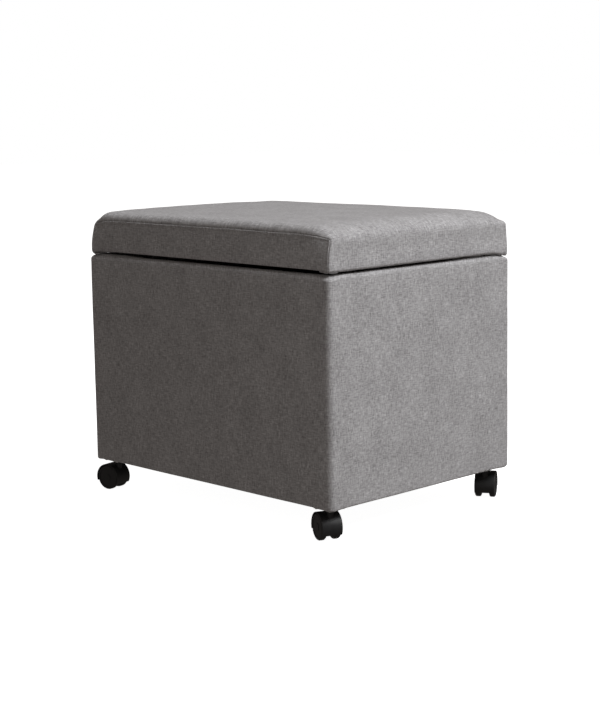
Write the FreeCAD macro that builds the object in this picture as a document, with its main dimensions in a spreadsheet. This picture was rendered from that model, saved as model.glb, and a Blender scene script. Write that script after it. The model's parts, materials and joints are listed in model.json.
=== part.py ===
"""Rolling storage ottoman: a padded fabric case on four twin-wheel casters, with a hinged cushioned lid.

Millimetres and degrees. The floor is z = 0, +Z is up, +X runs along the long side and the front faces -Y.
The origin is on the floor under the middle of the ottoman.
"""
import FreeCAD, Part
import os
import Sketcher
from FreeCAD import Placement, Rotation, Vector

DIMENSIONS = [
    # carcass and its covering
    ("case_width", 544, "case over its fabric, along X"),
    ("case_depth", 400, "case over its fabric, along Y"),
    ("case_bottom", 52, "underside of the case above the floor"),
    ("case_rim", 390, "top of the case's padded rim"),
    ("case_corner_radius", 6, "upright corners of the fabric"),
    ("case_rim_radius", 5.5, "roll of the fabric over the rim"),
    ("fabric", 1.2, "thickness of the upholstery fabric"),
    ("padding", 3.8, "wadding on the case's sides"),
    ("rim_padding", 2.8, "wadding on the case's rim"),
    ("board", 12, "thickness of the carcass and lid boards"),
    ("lining", 0.8, "thickness of the lining and of the dust cover"),
    ("hem_width", 20, "fabric turned under the case and under the lid"),
    ("rim_turn_down", 40, "fabric turned down inside the case's rim"),
    ("overcut", 10, "how far a cutting shape runs past the piece that it cuts"),
    # lid
    ("lid_inset", 1.2, "lid fabric inside the case fabric, each side"),
    ("lid_bottom", 396, "underside of the lid"),
    ("lid_side_drop", 1.8, "how far the lid's short sides hang below its underside"),
    ("lid_rear_lift", 0.6, "how far the rear border stops above the lid's underside"),
    ("lid_top", 462, "top of the lid's cushion"),
    ("lid_end_roll", 28, "roll of the cushion over the short ends"),
    ("lid_long_roll", 13, "roll of the cushion over the long sides"),
    ("lid_seam", 446, "seam between the lid's top cover and its long borders"),
    # hinge
    ("hinge_z", 393, "height of the lid's hinge axis"),
    ("hinge_x", 150, "middle of each hinge from the ottoman's middle"),
    ("hinge_length", 60, "length of each hinge"),
    ("hinge_middle_knuckle", 24, "length of the lid leaf's knuckle"),
    ("hinge_knuckle_gap", 0.4, "side gap between knuckles"),
    ("hinge_leaf", 1.2, "thickness of a hinge leaf"),
    ("hinge_leaf_reach", 17, "front edge of a leaf from the hinge axis"),
    ("hinge_notch", 3.5, "leaf edge beside the other leaf's knuckle, from the axis"),
    ("hinge_knuckle_radius", 3, "outer radius of a knuckle"),
    ("hinge_pin_radius", 1.5, "radius of the hinge pin"),
    ("hinge_screw_x", 20, "hinge screws from the hinge's middle"),
    ("hinge_screw_y", 11, "hinge screws from the hinge axis"),
    ("running_gap", 0.05, "radial clearance of a pin in its moving eye"),
    # folding lid stays, a parallelogram with the lid and the case
    ("stay_case_back", 60, "case pivot in front of the hinge axis"),
    ("stay_case_down", 104, "case pivot below the hinge axis"),
    ("stay_lid_back", 100, "lid pivot in front of the hinge axis"),
    ("stay_lid_down", 12, "lid pivot below the hinge axis"),
    ("stay_lower_x", 249.5, "inner face of the lower arm"),
    ("stay_upper_x", 246.5, "inner face of the upper arm"),
    ("stay_arm", 2.5, "thickness of a stay's arm"),
    ("stay_arm_width", 12, "width of a stay's arm"),
    ("stay_eye_radius", 7, "radius of an arm's eye"),
    ("stay_pin_radius", 2.5, "radius of a stay's pivots"),
    ("stay_head_radius", 5, "radius of a pivot's head"),
    ("stay_head", 1.4, "thickness of a pivot's head"),
    ("stay_gap", 0.3, "side gap between a head and its arm"),
    ("stay_bracket_foot", 14, "foot of the lid bracket, towards the middle"),
    ("stay_bracket_plate", 1.5, "thickness of the lid bracket's foot"),
    ("stay_bracket_length", 44, "length of the lid bracket's foot"),
    # casters
    ("caster_inset_x", 26, "swivel axis from the case's short sides"),
    ("caster_inset_y", 23.5, "swivel axis from the case's long sides"),
    ("caster_trail", 12, "axle behind the swivel axis"),
    ("wheel_radius", 20, "radius of a wheel"),
    ("wheel_width", 9.2, "width of a wheel"),
    ("wheel_middle", 11.4, "middle of a wheel from the caster's middle plane"),
    ("wheel_edge_round", 2.6, "rounding of the tread's edges"),
    ("wheel_dish_radius", 15.5, "radius of the dish in a wheel's face"),
    ("wheel_dish", 0.5, "depth of the dish in a wheel's face"),
    ("wheel_hub_radius", 6, "radius of the hub cap in the dish"),
    ("wheel_back_recess", 4.5, "depth of the hollow in a wheel's inner side"),
    ("wheel_cap", 1.6, "wall over the axle's end"),
    ("axle_radius", 2.5, "radius of an axle"),
    ("hood_radius", 22.3, "outer radius of the hood"),
    ("hood_wall", 1.6, "thickness of the hood"),
    ("hood_web", 12.4, "thickness of the web between the wheels"),
    ("hood_round", 0.7, "rounding of the hood's side edges"),
    ("hood_front_height", 9.8, "lowest edge of the hood's front"),
    ("hood_front_reach", 13.4, "level part of the hood's lowest edge, from the axle"),
    ("hood_rear_height", 15, "lowest edge of the hood's back"),
    ("barrel_radius", 5.3, "radius of the barrel round the kingpin"),
    ("barrel_bottom", 12, "bottom of the barrel"),
    ("barrel_top", 49.7, "top of the barrel"),
    ("kingpin_radius", 3, "radius of the kingpin"),
    ("kingpin_bottom", 24, "bottom of the kingpin's bore"),
    ("plate_side", 36, "side of the square caster plate"),
    ("plate", 2, "thickness of the caster plate"),
    ("plate_corner", 4, "rounding of the plate's corners"),
    ("plate_screw", 13.5, "plate screws from the swivel axis, along X and Y"),
    ("caster_screw_length", 13, "length of a caster screw under its head"),
    # fasteners and bumpers
    ("screw_radius", 1.75, "shank of the hardware screws"),
    ("screw_head_radius", 3.2, "head of the hardware screws"),
    ("screw_crown_radius", 2.56, "flat top of a hardware screw's head"),
    ("screw_head", 1.6, "height of a hardware screw's head"),
    ("hinge_screw_radius", 1.2, "shank of a hinge screw"),
    ("hinge_screw_length", 9, "length of a hinge screw"),
    ("hinge_screw_head_radius", 2.4, "head of a hinge screw"),
    ("hinge_screw_crown_radius", 1.92, "flat top of a hinge screw's head"),
    ("hinge_screw_head", 0.6, "height of a hinge screw's head"),
    ("case_screw_radius", 2, "shank of a carcass screw"),
    ("case_screw_head_radius", 4, "countersunk head of a carcass screw"),
    ("case_screw_length", 42, "length of a carcass screw"),
    ("staple_line", 17, "staples from the fabric's outer face"),
    ("staple_width", 10, "width of a staple"),
    ("staple_depth", 6, "length of a staple's legs"),
    ("staple_wire", 0.7, "thickness of the staple wire"),
    ("bumper_radius", 4.5, "radius of a rim bumper"),
    ("bumper", 5.6, "height of a rim bumper"),
    ("bumper_y", 150, "rim bumpers from the ottoman's middle, along Y"),
]

# name, side along X, side along Y and the direction in which the wheels trail, turned from +Y about +Z
CASTERS = [
    ("front_left", -1, -1, "101"),
    ("front_right", 1, -1, "67.4"),
    ("rear_left", -1, 1, "165"),
    ("rear_right", 1, 1, "31.3"),
]
SIDES = [("left", -1), ("right", 1)]
TINY = 1e-4  # a length or volume that counts as none

# Where rows of fasteners sit, as shares of the height or half width that they run along.
WALL_SCREW_LEVELS = (0.3, 0.8)
LONG_WALL_SCREWS = (-0.5, 0, 0.5)
SHORT_WALL_SCREWS = (-0.3, 0.3)
LONG_SIDE_STAPLES = (-0.85, -0.51, -0.17, 0.17, 0.51, 0.85)
SHORT_SIDE_STAPLES = (-0.6, -0.2, 0.2, 0.6)

doc = FreeCAD.newDocument("storage_ottoman")
sheet = doc.addObject("Spreadsheet::Sheet", "dims")
for row, (alias, value, meaning) in enumerate(DIMENSIONS, start=1):
    sheet.set(f"A{row}", meaning)
    sheet.set(f"B{row}", str(value))
    sheet.setAlias(f"B{row}", alias)
for row, (name, _, _, angle) in enumerate(CASTERS, start=len(DIMENSIONS) + 1):
    sheet.set(f"A{row}", "rest direction of a caster")
    sheet.set(f"B{row}", angle)
    sheet.setAlias(f"B{row}", f"{name}_trail_angle")
doc.recompute()

# Places that several pieces share, as expressions of the sheet's cells.
BASE = "(dims.case_bottom + dims.fabric)"
WALL_FOOT = f"({BASE} + dims.board)"
WALL_TOP = "(dims.case_rim - dims.fabric - dims.rim_padding)"
COVERING = "(dims.fabric + dims.padding)"
BOARD_X = f"(dims.case_width / 2 - {COVERING})"
BOARD_Y = f"(dims.case_depth / 2 - {COVERING})"
INSIDE_X = f"({BOARD_X} - dims.board)"
INSIDE_Y = f"({BOARD_Y} - dims.board)"
LID_X = "(dims.case_width / 2 - dims.lid_inset)"
LID_Y = "(dims.case_depth / 2 - dims.lid_inset)"
LID_BOARD = "(dims.lid_bottom + dims.fabric)"
HINGE_Y = "(dims.case_depth / 2)"
STAY_CASE = (f"({HINGE_Y} - dims.stay_case_back)", "(dims.hinge_z - dims.stay_case_down)")
STAY_LID = (f"({HINGE_Y} - dims.stay_lid_back)", "(dims.hinge_z - dims.stay_lid_down)")
STAY_MIDDLE = (f"({STAY_CASE[0]} - dims.stay_lid_back)", f"({STAY_CASE[1]} - dims.stay_lid_down)")

parts = []


def finish(thing, label):
    """Name a finished sub-part and keep it for export."""
    thing.Label = label
    parts.append(thing)
    return thing


def place(thing, x="0", y="0", z="0"):
    """Bind an object's position to three expressions."""
    for axis, expression in zip("xyz", (x, y, z)):
        thing.setExpression(f"Placement.Base.{axis}", expression)
    return thing


def turn(thing, axis, expression):
    """Bind an object's turn about a fixed axis to an expression in degrees."""
    thing.Placement = Placement(Vector(0, 0, 0), Rotation(axis, 1))
    thing.setExpression("Placement.Rotation.Angle", expression)
    return thing


def block(name, x, y, z):
    """A box from low to high on each axis."""
    box = doc.addObject("Part::Box", name)
    for size, (low, high) in zip(("Length", "Width", "Height"), (x, y, z)):
        box.setExpression(size, f"({high}) - ({low})")
    return place(box, x[0], y[0], z[0])


def both(half):
    """The range from minus half to plus half."""
    return f"-({half})", f"{half}"


def cylinder(name, radius, length, axis=Vector(0, 0, 1)):
    """A cylinder from the origin along an axis."""
    rod = doc.addObject("Part::Cylinder", name)
    rod.setExpression("Radius", radius)
    rod.setExpression("Height", length)
    rod.Placement = Placement(Vector(0, 0, 0), Rotation(Vector(0, 0, 1), axis))
    return rod


def cut(name, base, *tools):
    """The base with every tool taken away."""
    result = base
    for number, tool in enumerate(tools):
        step = doc.addObject("Part::Cut", f"{name}_cut_{number}")
        step.Base = result
        step.Tool = tool
        result = step
    return result


def fuse(name, *shapes):
    """Several touching solids as one."""
    result = doc.addObject("Part::MultiFuse", name)
    result.Shapes = list(shapes)
    result.Refine = True
    return result


def common(name, first, second):
    """What two solids share."""
    result = doc.addObject("Part::Common", name)
    result.Base = first
    result.Tool = second
    return result


def group(label, members):
    """Identical separate solids kept in one sub-part."""
    result = doc.addObject("Part::Compound", label)
    result.Links = members
    return finish(result, label)


def sketch_on(body, role, height):
    """An empty sketch on one of the body's own origin planes, moved along the plane's normal."""
    plane = next(feature for feature in body.Origin.OriginFeatures if feature.Role == role)
    sketch = body.newObject("Sketcher::SketchObject", f"{body.Name}_sketch")
    sketch.AttachmentSupport = (plane, [""])
    sketch.MapMode = "FlatFace"
    sketch.setExpression("AttachmentOffset.Base.z", height)
    return sketch


def hold_point(sketch, geometry, vertex, point):
    """Constrain one vertex to a place given by two expressions."""
    for kind, start, expression in zip(("DistanceX", "DistanceY"), (5.0, 7.0), point):
        index = sketch.addConstraint(Sketcher.Constraint(kind, -1, 1, geometry, vertex, start))
        sketch.setExpression(f"Constraints[{index}]", expression)


def draw_polygon(sketch, points):
    """A closed outline through points given as pairs of expressions."""
    count = len(points)
    for index in range(count):
        start = Vector(index, index * index, 0)
        end = Vector((index + 1) % count, ((index + 1) % count) ** 2, 0)
        sketch.addGeometry(Part.LineSegment(start, end), False)
    for index in range(count):
        sketch.addConstraint(Sketcher.Constraint("Coincident", index, 2, (index + 1) % count, 1))
    for index, point in enumerate(points):
        hold_point(sketch, index, 1, point)


def draw_circles(sketch, circles):
    """Circles given as (centre, centre, radius) expressions."""
    for index, (across, up, radius) in enumerate(circles):
        sketch.addGeometry(Part.Circle(Vector(index, index, 0), Vector(0, 0, 1), 1.0), False)
        constraint = sketch.addConstraint(Sketcher.Constraint("Radius", index, 1.0))
        sketch.setExpression(f"Constraints[{constraint}]", radius)
        hold_point(sketch, index, 3, (across, up))


def extrude(body, kind, role, low, high, polygon=None, circles=None):
    """Pad or pocket an outline or circles between two distances along a plane's normal."""
    sketch = sketch_on(body, role, low if kind == "Pad" else high)
    if polygon:
        draw_polygon(sketch, polygon)
    if circles:
        draw_circles(sketch, circles)
    feature = body.newObject(f"PartDesign::{kind}", f"{body.Name}_{kind.lower()}")
    feature.Profile = sketch
    feature.setExpression("Length", f"({high}) - ({low})")
    sketch.Visibility = False
    doc.recompute()
    return feature


def pad(body, role, low, high, **outline):
    return extrude(body, "Pad", role, low, high, **outline)


def pocket(body, role, low, high, **outline):
    """Cut, and make sure that something was cut."""
    before = body.Shape.Volume
    feature = extrude(body, "Pocket", role, low, high, **outline)
    if body.Shape.Volume >= before - TINY:
        raise RuntimeError(f"a pocket in {body.Label} removes nothing")
    return feature


def fillet(body, base, radius, wanted):
    """Round the edges of a feature that the test picks."""
    picked = [f"Edge{number}" for number, edge in enumerate(base.Shape.Edges, start=1) if wanted(edge)]
    feature = body.newObject("PartDesign::Fillet", f"{body.Name}_fillet")
    feature.Base = (base, picked)
    feature.setExpression("Radius", radius)
    doc.recompute()
    return feature


def rectangle(across, up):
    """Four corners from two (low, high) ranges."""
    return [(across[0], up[0]), (across[1], up[0]), (across[1], up[1]), (across[0], up[1])]


def is_upright(edge):
    return edge.BoundBox.XLength < TINY and edge.BoundBox.YLength < TINY


def is_level_at(height):
    """A test for edges that lie flat at a height."""
    return lambda edge: edge.BoundBox.ZLength < TINY and abs(edge.BoundBox.ZMax - height) < TINY


def make_carcass():
    """Five boards: the base carries four walls, and the long walls cover the short ones' ends."""
    finish(block("floor_panel", both(BOARD_X), both(BOARD_Y), (BASE, WALL_FOOT)), "floor_panel")
    walls = (WALL_FOOT, WALL_TOP)
    finish(block("front_panel", both(BOARD_X), (f"-{BOARD_Y}", f"-{INSIDE_Y}"), walls), "front_panel")
    finish(block("rear_panel", both(BOARD_X), (INSIDE_Y, BOARD_Y), walls), "rear_panel")
    finish(block("left_panel", (f"-{BOARD_X}", f"-{INSIDE_X}"), both(INSIDE_Y), walls), "left_panel")
    finish(block("right_panel", (INSIDE_X, BOARD_X), both(INSIDE_Y), walls), "right_panel")


def case_form(name, inset, bottom, top):
    """The case's outer form: rounded upright corners and a rolled rim."""
    body = doc.addObject("PartDesign::Body", name)
    outline = rectangle(both(f"dims.case_width / 2 - {inset}"), both(f"dims.case_depth / 2 - {inset}"))
    base = pad(body, "XY_Plane", bottom, top, polygon=outline)
    corners = fillet(body, base, f"dims.case_corner_radius - {inset}", is_upright)
    rim = is_level_at(corners.Shape.BoundBox.ZMax)
    fillet(body, corners, f"dims.case_rim_radius - {inset}", rim)
    return body


def make_case_padding():
    """Wadding round the walls and over their top edges."""
    outer = case_form("padding_outside", "dims.fabric", BASE, "dims.case_rim - dims.fabric")
    boards = block("padding_boards", both(BOARD_X), both(BOARD_Y), (BASE, WALL_TOP))
    space = block("padding_space", both(INSIDE_X), both(INSIDE_Y), (BASE, "dims.case_rim"))
    finish(cut("padding", outer, boards, space), "case_padding")


def make_case_cover():
    """Fabric round the case, over its rim, down inside it, and turned under the base."""
    envelope = case_form("cover_outside", "0", "dims.case_bottom", "dims.case_rim")
    filling = case_form("cover_filling", "dims.fabric", BASE, "dims.case_rim - dims.fabric")
    turned = block(
        "cover_turned",
        both(INSIDE_X),
        both(INSIDE_Y),
        ("dims.case_rim - dims.rim_turn_down", "dims.case_rim"),
    )
    mouth = block(
        "cover_mouth",
        both(f"{INSIDE_X} - dims.fabric"),
        both(f"{INSIDE_Y} - dims.fabric"),
        (BASE, "dims.case_rim + dims.overcut"),
    )
    hem = block(
        "cover_hem",
        both("dims.case_width / 2 - dims.hem_width"),
        both("dims.case_depth / 2 - dims.hem_width"),
        ("dims.case_bottom - dims.overcut", BASE),
    )
    finish(cut("case_cover", envelope, cut("cover_space", filling, turned), mouth, hem), "case_cover")


def make_lining_and_dust_cover():
    """The lining is an open box against the boards, and the dust cover closes the base's hem."""
    top = "dims.case_rim - dims.rim_turn_down"
    outer = block("lining_outside", both(INSIDE_X), both(INSIDE_Y), (WALL_FOOT, top))
    inner = block(
        "lining_inside",
        both(f"{INSIDE_X} - dims.lining"),
        both(f"{INSIDE_Y} - dims.lining"),
        (f"{WALL_FOOT} + dims.lining", "dims.case_rim"),
    )
    finish(cut("case_lining", outer, inner), "case_lining")
    finish(
        block(
            "dust_cover",
            both("dims.case_width / 2 - dims.hem_width"),
            both("dims.case_depth / 2 - dims.hem_width"),
            (f"{BASE} - dims.lining", BASE),
        ),
        "dust_cover",
    )


def screw(name, direction, spot, kind, sunk=False):
    """A screw whose shank runs along the direction, its head behind the spot or sunk in front of it."""
    radius, length, head_radius, far_radius, head = (f"dims.{size}" for size in kind)
    shank = cylinder(f"{name}_shank", radius, length)
    top = doc.addObject("Part::Cone", f"{name}_head")
    top.setExpression("Radius1", head_radius)
    top.setExpression("Radius2", far_radius)
    top.setExpression("Height", head)
    if not sunk:
        top.Placement = Placement(Vector(0, 0, 0), Rotation(Vector(1, 0, 0), 180))
    whole = fuse(name, shank, top)
    whole.Placement = Placement(Vector(0, 0, 0), Rotation(Vector(0, 0, 1), direction))
    return place(whole, *spot)


# Each kind's shank radius and length, its head's widest and other radius, and its head's height.
CASE_SCREW = ("case_screw_radius", "case_screw_length", "case_screw_head_radius",
              "case_screw_radius", "case_screw_radius")
CASTER_SCREW = ("screw_radius", "caster_screw_length", "screw_head_radius",
                "screw_crown_radius", "screw_head")
HINGE_SCREW = ("hinge_screw_radius", "hinge_screw_length", "hinge_screw_head_radius",
               "hinge_screw_crown_radius", "hinge_screw_head")


def make_case_screws():
    """Screws through the long walls into the short ones, and up through the base into all four."""
    middle_x = f"({INSIDE_X} + dims.board / 2)"
    middle_y = f"({INSIDE_Y} + dims.board / 2)"
    up = Vector(0, 0, 1)
    places = []
    for side_x in (-1, 1):
        for side_y in (-1, 1):
            for level in WALL_SCREW_LEVELS:
                spot = (f"{side_x} * {middle_x}", f"{side_y} * {BOARD_Y}", f"dims.case_rim * {level}")
                places.append((Vector(0, -side_y, 0), spot))
    for side in (-1, 1):
        for share in LONG_WALL_SCREWS:
            places.append((up, (f"{BOARD_X} * {share}", f"{side} * {middle_y}", BASE)))
        for share in SHORT_WALL_SCREWS:
            places.append((up, (f"{side} * {middle_x}", f"{BOARD_Y} * {share}", BASE)))
    screws = [screw(f"case_screw_{number}", direction, spot, CASE_SCREW, sunk=True)
              for number, (direction, spot) in enumerate(places)]
    group("case_screws", screws)


def staple(name, spot, along_x):
    """A wire staple with its crown under the surface at the spot and its legs driven upward."""
    half = "dims.staple_width / 2"
    wire = "dims.staple_wire"
    ranges = [both(half), both(f"{wire} / 2")]
    gap = [both(f"{half} - {wire}"), both(wire)]
    if not along_x:
        ranges.reverse()
        gap.reverse()
    crown = block(f"{name}_wire", *ranges, (f"-{wire}", "dims.staple_depth"))
    space = block(f"{name}_gap", *gap, ("0", "dims.staple_depth + dims.overcut"))
    return place(cut(name, crown, space), *spot)


def staple_ring(label, outer_x, outer_y, height):
    """Staples in a rectangle under a board: six on each long side and four on each short side."""
    half_x = f"({outer_x} - dims.staple_line)"
    half_y = f"({outer_y} - dims.staple_line)"
    staples = []
    for side in (-1, 1):
        for share in LONG_SIDE_STAPLES:
            spot = (f"{half_x} * {share}", f"{half_y} * {side}", height)
            staples.append(staple(f"{label}_{len(staples)}", spot, True))
        for share in SHORT_SIDE_STAPLES:
            spot = (f"{half_x} * {side}", f"{half_y} * {share}", height)
            staples.append(staple(f"{label}_{len(staples)}", spot, False))
    group(label, staples)


def make_bumpers():
    """Small rubber buttons on the rim's short sides, under the lid."""
    bumpers = []
    for side_x in (-1, 1):
        for side_y in (-1, 1):
            bumper = cylinder(f"bumper_{len(bumpers)}", "dims.bumper_radius", "dims.bumper")
            bumpers.append(
                place(
                    bumper,
                    f"{side_x} * ({INSIDE_X} + dims.board / 2)",
                    f"{side_y} * dims.bumper_y",
                    "dims.case_rim",
                )
            )
    group("rim_bumpers", bumpers)


def lid_envelope(name, inset, bottom, top):
    """The cushion's outer form: rolled over the short ends and, less, over the long sides."""
    half_x = f"({LID_X} - {inset})"
    half_y = f"({LID_Y} - {inset})"
    forms = []
    for role, half, other, radius in (
        ("XZ_Plane", half_x, half_y, "dims.lid_end_roll"),
        ("YZ_Plane", half_y, half_x, "dims.lid_long_roll"),
    ):
        body = doc.addObject("PartDesign::Body", f"{name}_{role[:2].lower()}")
        base = pad(body, role, f"-{other}", other, polygon=rectangle(both(half), (bottom, top)))
        level = is_level_at(base.Shape.BoundBox.ZMax)
        across = "XLength" if role == "XZ_Plane" else "YLength"
        fillet(body, base, f"{radius} - {inset}",
               lambda edge: level(edge) and getattr(edge.BoundBox, across) < TINY)
        forms.append(body)
    return common(name, *forms)


def make_lid_upholstery():
    """Board, foam, a top cover that runs down both short ends, and sewn borders on the long sides."""
    board_top = f"({LID_BOARD} + dims.board)"
    finish(block("lid_board", both(BOARD_X), both(BOARD_Y), (LID_BOARD, board_top)), "lid_board")
    foam = lid_envelope("lid_foam_form", "dims.fabric", board_top, "dims.lid_top - dims.fabric")
    finish(foam, "lid_foam")

    low = "dims.lid_bottom - dims.lid_side_drop"
    outer = lid_envelope("lid_cover_form", "0", low, "dims.lid_top")
    inner = lid_envelope("lid_cover_filling", "dims.fabric", LID_BOARD, "dims.lid_top - dims.fabric")
    hem = block(
        "lid_hem",
        both(f"{LID_X} - dims.hem_width"),
        both(f"{LID_Y} - dims.hem_width"),
        ("dims.lid_bottom - dims.overcut", LID_BOARD),
    )
    under = block(
        "lid_under",
        both(f"{LID_X} - dims.fabric"),
        both("dims.case_depth"),
        ("dims.lid_bottom - dims.overcut", "dims.lid_bottom"),
    )
    border_half = f"({LID_X} - dims.fabric)"
    border_height = ("dims.lid_bottom - dims.overcut", "dims.lid_seam")
    fronts = {
        "front": (f"-{LID_Y}", f"-({LID_Y} - dims.fabric)"),
        "rear": (f"{LID_Y} - dims.fabric", LID_Y),
    }
    openings = [block(f"lid_{name}_opening", both(border_half), depth, border_height)
                for name, depth in fronts.items()]
    finish(cut("lid_top_cover", outer, inner, hem, under, *openings), "lid_top_cover")
    border_foot = {"front": "dims.lid_bottom", "rear": "dims.lid_bottom + dims.lid_rear_lift"}
    for name, depth in fronts.items():
        border = block(f"lid_{name}_strip", both(border_half), depth, (border_foot[name], "dims.lid_seam"))
        cover = lid_envelope(f"lid_{name}_bounds", "0", low, "dims.lid_top")
        finish(common(f"lid_{name}_border", border, cover), f"lid_{name}_border")
    finish(
        block(
            "lid_lining",
            both(f"{LID_X} - dims.hem_width"),
            both(f"{LID_Y} - dims.hem_width"),
            (f"{LID_BOARD} - dims.lining", LID_BOARD),
        ),
        "lid_lining",
    )


def knuckle(name, middle, length):
    """A hinge knuckle's solid cylinder along the hinge axis, centred on a place along X."""
    rod = cylinder(name, "dims.hinge_knuckle_radius", length, Vector(1, 0, 0))
    return place(rod, f"{middle} - ({length}) / 2", HINGE_Y, "dims.hinge_z")


def make_hinge(name, side):
    """A butt hinge: the case leaf has two knuckles and the lid leaf the one between them."""
    middle = f"({side} * dims.hinge_x)"
    half = "dims.hinge_length / 2"
    outer_length = "((dims.hinge_length - dims.hinge_middle_knuckle) / 2)"
    outer_shift = f"({half} - {outer_length} / 2)"
    inner_length = "(dims.hinge_middle_knuckle - 2 * dims.hinge_knuckle_gap)"
    plate_y = (f"{HINGE_Y} - dims.hinge_leaf_reach", f"{HINGE_Y} - dims.hinge_notch")
    tab_y = (f"{HINGE_Y} - dims.hinge_leaf_reach", HINGE_Y)
    low = "(dims.hinge_z - dims.hinge_knuckle_radius)"
    high = "(dims.hinge_z + dims.hinge_knuckle_radius)"
    outer_knuckles = [(f"{middle} {sign} {outer_shift}", outer_length) for sign in "-+"]
    loose_bore = "dims.hinge_pin_radius + dims.running_gap"
    leaves = {
        "case": ((low, f"{low} + dims.hinge_leaf"), outer_knuckles, loose_bore),
        "lid": ((f"{high} - dims.hinge_leaf", high), [(middle, inner_length)], "dims.hinge_pin_radius"),
    }
    for leaf, (heights, knuckles, bore_radius) in leaves.items():
        title = f"hinge_{name}_{leaf}_leaf"
        pieces = [block(f"{title}_plate", (f"{middle} - {half}", f"{middle} + {half}"), plate_y, heights)]
        for number, (centre, length) in enumerate(knuckles):
            along = (f"{centre} - ({length}) / 2", f"{centre} + ({length}) / 2")
            pieces.append(block(f"{title}_tab_{number}", along, tab_y, heights))
            pieces.append(knuckle(f"{title}_knuckle_{number}", centre, length))
        bore = cylinder(f"{title}_bore", bore_radius, "dims.hinge_length + 2 * dims.overcut", Vector(1, 0, 0))
        place(bore, f"{middle} - {half} - dims.overcut", HINGE_Y, "dims.hinge_z")
        holes = [
            place(
                cylinder(f"{title}_hole_{number}", "dims.hinge_screw_radius", "dims.hinge_leaf"),
                f"{middle} + {shift} * dims.hinge_screw_x",
                f"{HINGE_Y} - dims.hinge_screw_y",
                heights[0],
            )
            for number, shift in enumerate((-1, 1))
        ]
        finish(cut(title, fuse(f"{title}_solid", *pieces), bore, *holes), title)


def make_hinges():
    """Two hinges on the rear rim, with their pins and screws."""
    pins = []
    screws = {"case": [], "lid": []}
    for name, side in SIDES:
        make_hinge(name, side)
        pin = cylinder(f"hinge_{name}_pin", "dims.hinge_pin_radius", "dims.hinge_length", Vector(1, 0, 0))
        pins.append(place(pin, f"{side} * dims.hinge_x - dims.hinge_length / 2", HINGE_Y, "dims.hinge_z"))
        reach = "dims.hinge_knuckle_radius - dims.hinge_leaf"
        for leaf, direction, height in (
            ("case", Vector(0, 0, -1), f"dims.hinge_z - ({reach})"),
            ("lid", Vector(0, 0, 1), f"dims.hinge_z + ({reach})"),
        ):
            for shift in (-1, 1):
                spot = (
                    f"{side} * dims.hinge_x + {shift} * dims.hinge_screw_x",
                    f"{HINGE_Y} - dims.hinge_screw_y",
                    height,
                )
                title = f"hinge_{leaf}_screw_{len(screws[leaf])}"
                screws[leaf].append(screw(title, direction, spot, HINGE_SCREW))
    group("hinge_pins", pins)
    group("hinge_case_screws", screws["case"])
    group("hinge_lid_screws", screws["lid"])


def stay_arm(label, side, inner, length, eyes, start, angle):
    """A flat arm with an eye at each end, lying along the direction of its angle."""
    body = doc.addObject("PartDesign::Body", label)
    low, high = (inner, f"{inner} + dims.stay_arm")
    if side < 0:
        low, high = (f"-({inner} + dims.stay_arm)", f"-{inner}")
    half = "dims.stay_arm_width / 2"
    pad(body, "YZ_Plane", low, high, polygon=rectangle(("0", length), both(half)))
    for end in ("0", length):
        pad(body, "YZ_Plane", low, high, circles=[(end, "0", "dims.stay_eye_radius")])
    for end, radius in zip(("0", length), eyes):
        pocket(body, "YZ_Plane", low, high, circles=[(end, "0", radius)])
    turn(body, Vector(1, 0, 0), angle)
    place(body, "0", *start)
    return finish(body, label)


def pivot(name, side, centre, inner, outer, collar=None):
    """A stay's pivot along X: a pin with a head at its inner end, and a collar where the wall holds it."""
    length = f"({outer}) - ({inner})"
    direction = Vector(side, 0, 0)
    pin = cylinder(f"{name}_pin", "dims.stay_pin_radius", length, direction)
    place(pin, f"{side} * ({inner})", *centre)
    head = cylinder(f"{name}_head", "dims.stay_head_radius", "dims.stay_head", direction)
    pieces = [pin, place(head, f"{side} * ({inner})", *centre)]
    if collar:
        width = f"({collar[1]}) - ({collar[0]})"
        ring = cylinder(f"{name}_collar", "dims.stay_head_radius", width, direction)
        pieces.append(place(ring, f"{side} * ({collar[0]})", *centre))
    return fuse(name, *pieces)


def make_lid_bracket(name, side):
    """An angle bracket: a foot under the lid and an ear down to the stay's lid pivot."""
    body = doc.addObject("PartDesign::Body", f"stay_{name}_lid_bracket")
    inner = "dims.stay_lower_x"
    outer = f"({inner} + dims.stay_arm)"
    along = "dims.stay_bracket_length / 2"
    top = "dims.lid_bottom"
    ranges = [(f"{inner} - dims.stay_bracket_foot", outer), (inner, outer)]
    if side < 0:
        ranges = [(f"-({high})", f"-({low})") for low, high in ranges]
    foot_x, ear_x = ranges
    ear_half = "dims.stay_eye_radius"
    y, z = STAY_LID
    foot = rectangle(foot_x, (f"{y} - {along}", f"{y} + {along}"))
    pad(body, "XY_Plane", f"{top} - dims.stay_bracket_plate", top, polygon=foot)
    pad(body, "YZ_Plane", *ear_x, polygon=rectangle((f"{y} - {ear_half}", f"{y} + {ear_half}"), (z, top)))
    pad(body, "YZ_Plane", *ear_x, circles=[(y, z, ear_half)])
    pocket(body, "YZ_Plane", *ear_x, circles=[(y, z, "dims.stay_pin_radius")])
    finish(body, f"stay_{name}_lid_bracket")


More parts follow.
